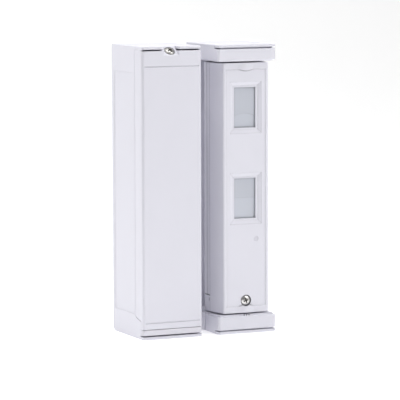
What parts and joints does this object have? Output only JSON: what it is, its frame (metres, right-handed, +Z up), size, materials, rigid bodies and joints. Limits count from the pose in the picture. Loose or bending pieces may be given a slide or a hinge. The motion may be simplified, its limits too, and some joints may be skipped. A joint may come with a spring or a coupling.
{
  "type": "outdoor curtain sensor",
  "caption": "Outdoor curtain motion sensor: a slim battery and transmitter box beside a sensor head that pans about an upright axis between two arms, linked at the foot.",
  "frame": {"origin": "middle of the box at the level of the feet", "axes": "+X to the right as seen from the front, +Y towards the wall, +Z up"},
  "size_m": [0.0928, 0.05, 0.184],
  "materials": {
    "case_white": "fine matte moulded, slightly cool white",
    "cover_white": "fine matte moulded, slightly cool white",
    "head_white": "fine matte moulded, slightly cool white",
    "tray_white": "plain moulded white",
    "seal_rubber": "dull black rubber",
    "screw_nickel": "bright nickel plate",
    "black_plastic": "black moulded",
    "battery_wrap": "shrink sleeve",
    "spring_steel": "plain spring steel",
    "board_green": "solder mask",
    "can_steel": "tinned steel",
    "lens_milky": "milky polyethylene, faintly ribbed",
    "led_red": "tinted epoxy",
    "guide_clear": "satin translucent",
    "switch_red": "moulded",
    "terminal_green": "moulded"
  },
  "bodies": {
    "cases": {"box_case": "case_white", "box_cover": "cover_white", "box_tray": "tray_white", "box_seal": "seal_rubber", "cover_screw": "screw_nickel", "tray_screws": "screw_nickel", "battery_holder": "black_plastic", "battery_1": "battery_wrap", "battery_2": "battery_wrap", "battery_contacts": "spring_steel", "transmitter_board": "board_green", "transmitter_module": "can_steel", "box_tamper_switch": "black_plastic", "cable_grommet": "seal_rubber", "link_duct": "case_white", "link_seals": "seal_rubber", "sensor_case": "case_white", "top_cap": "case_white", "bottom_plate": "case_white", "upper_bush": "tray_white", "lower_bush": "tray_white"},
    "head": {"head_base": "head_white", "head_rear": "head_white", "head_front": "head_white", "head_seal": "seal_rubber", "upper_lens": "lens_milky", "lower_lens": "lens_milky", "lens_frame": "black_plastic", "sensor_board": "board_green", "board_screws": "screw_nickel", "upper_pyro": "can_steel", "lower_pyro": "can_steel", "indicator_led": "led_red", "light_guide": "guide_clear", "dip_switch": "switch_red", "dial_socket": "black_plastic", "terminal_block": "terminal_green", "head_tamper_switch": "black_plastic", "head_screw": "screw_nickel", "friction_washer": "spring_steel", "journal_clip": "spring_steel"},
    "box_tamper": {"box_tamper_plunger": "tray_white"},
    "head_tamper": {"head_tamper_plunger": "tray_white"},
    "switch_1": {"dip_slider_1": "tray_white"},
    "switch_2": {"dip_slider_2": "tray_white"},
    "switch_3": {"dip_slider_3": "tray_white"},
    "dial": {"sensitivity_dial": "tray_white"}
  },
  "joints": [
    {"name": "head_pan", "type": "hinge", "parent": "cases", "child": "head", "pos_m": [0.026, -0.004, 0], "axis": [0, 0, 1], "range_deg": [-95, 95]},
    {"name": "box_tamper_press", "type": "slide", "parent": "cases", "child": "box_tamper", "axis": [0, 1, 0], "range_m": [0, 0.001], "stiffness_N_per_m": 400},
    {"name": "head_tamper_press", "type": "slide", "parent": "head", "child": "head_tamper", "axis": [0, 1, 0], "range_m": [0, 0.001], "stiffness_N_per_m": 400},
    {"name": "switch_1_slide", "type": "slide", "parent": "head", "child": "switch_1", "axis": [0, 0, 1], "range_m": [0, 0.0018]},
    {"name": "switch_2_slide", "type": "slide", "parent": "head", "child": "switch_2", "axis": [0, 0, 1], "range_m": [0, 0.0018]},
    {"name": "switch_3_slide", "type": "slide", "parent": "head", "child": "switch_3", "axis": [0, 0, 1], "range_m": [0, 0.0018]},
    {"name": "dial_turn", "type": "hinge", "parent": "head", "child": "dial", "pos_m": [0.0332, -0.0066, 0.0509], "axis": [0, -1, 0], "range_deg": [-120, 120]}
  ]
}
